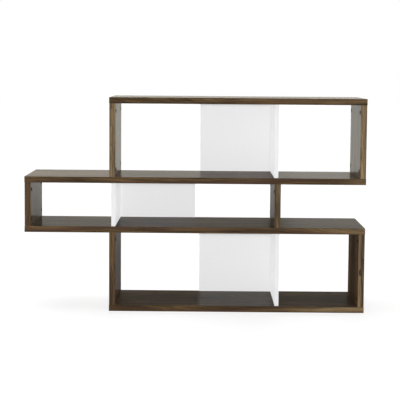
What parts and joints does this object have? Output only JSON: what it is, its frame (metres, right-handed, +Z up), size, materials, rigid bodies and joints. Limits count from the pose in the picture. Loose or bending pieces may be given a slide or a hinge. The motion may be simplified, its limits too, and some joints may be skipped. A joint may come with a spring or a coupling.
{
  "type": "bookcase",
  "caption": "Low open shelving unit of walnut boards on staggered levels, with white dividers and partial back panels, used as a bookcase or a room divider.",
  "frame": {"origin": "on the floor, under the middle of the unit's width and depth", "axes": "+X to the unit's right along its width, seen from the front; +Y to its back, so the front faces -Y; +Z up"},
  "size_m": [1.56, 0.34, 0.984],
  "materials": {
    "walnut_veneer": "walnut veneer with a satin lacquer, grain along each board's length",
    "white_lacquer": "board painted with a white satin lacquer",
    "bronzed_cam_zinc": "dark bronzed zinc cam with a zinc-plated steel bolt",
    "beech_dowel": "raw beech"
  },
  "bodies": {
    "root": {"bottom_board": "walnut_veneer", "lower_back_panel": "white_lacquer", "lower_divider": "white_lacquer", "lower_divider_bottom_back_dowel": "beech_dowel", "lower_divider_bottom_front_dowel": "beech_dowel", "lower_divider_top_back_dowel": "beech_dowel", "lower_divider_top_front_dowel": "beech_dowel", "lower_left_bottom_back_cam_fitting": "bronzed_cam_zinc", "lower_left_bottom_front_cam_fitting": "bronzed_cam_zinc", "lower_left_top_back_cam_fitting": "bronzed_cam_zinc", "lower_left_top_front_cam_fitting": "bronzed_cam_zinc", "lower_left_upright": "walnut_veneer", "lower_panel_high_dowel": "beech_dowel", "lower_panel_low_dowel": "beech_dowel", "lower_right_bottom_back_cam_fitting": "bronzed_cam_zinc", "lower_right_bottom_front_cam_fitting": "bronzed_cam_zinc", "lower_right_top_back_cam_fitting": "bronzed_cam_zinc", "lower_right_top_front_cam_fitting": "bronzed_cam_zinc", "lower_right_upright": "walnut_veneer", "lower_shelf": "walnut_veneer", "middle_back_panel": "white_lacquer", "middle_divider": "white_lacquer", "middle_divider_bottom_back_dowel": "beech_dowel", "middle_divider_bottom_front_dowel": "beech_dowel", "middle_divider_top_back_dowel": "beech_dowel", "middle_divider_top_front_dowel": "beech_dowel", "middle_left_bottom_back_cam_fitting": "bronzed_cam_zinc", "middle_left_bottom_front_cam_fitting": "bronzed_cam_zinc", "middle_left_top_back_cam_fitting": "bronzed_cam_zinc", "middle_left_top_front_cam_fitting": "bronzed_cam_zinc", "middle_left_upright": "walnut_veneer", "middle_panel_high_dowel": "beech_dowel", "middle_panel_low_dowel": "beech_dowel", "middle_right_bottom_back_cam_fitting": "bronzed_cam_zinc", "middle_right_bottom_front_cam_fitting": "bronzed_cam_zinc", "middle_right_top_back_cam_fitting": "bronzed_cam_zinc", "middle_right_top_front_cam_fitting": "bronzed_cam_zinc", "middle_right_upright": "walnut_veneer", "top_board": "walnut_veneer", "upper_back_panel": "white_lacquer", "upper_divider": "white_lacquer", "upper_divider_bottom_back_dowel": "beech_dowel", "upper_divider_bottom_front_dowel": "beech_dowel", "upper_divider_top_back_dowel": "beech_dowel", "upper_divider_top_front_dowel": "beech_dowel", "upper_left_bottom_back_cam_fitting": "bronzed_cam_zinc", "upper_left_bottom_front_cam_fitting": "bronzed_cam_zinc", "upper_left_top_back_cam_fitting": "bronzed_cam_zinc", "upper_left_top_front_cam_fitting": "bronzed_cam_zinc", "upper_left_upright": "walnut_veneer", "upper_panel_high_dowel": "beech_dowel", "upper_panel_low_dowel": "beech_dowel", "upper_right_bottom_back_cam_fitting": "bronzed_cam_zinc", "upper_right_bottom_front_cam_fitting": "bronzed_cam_zinc", "upper_right_top_back_cam_fitting": "bronzed_cam_zinc", "upper_right_top_front_cam_fitting": "bronzed_cam_zinc", "upper_right_upright": "walnut_veneer", "upper_shelf": "walnut_veneer"}
  },
  "joints": []
}
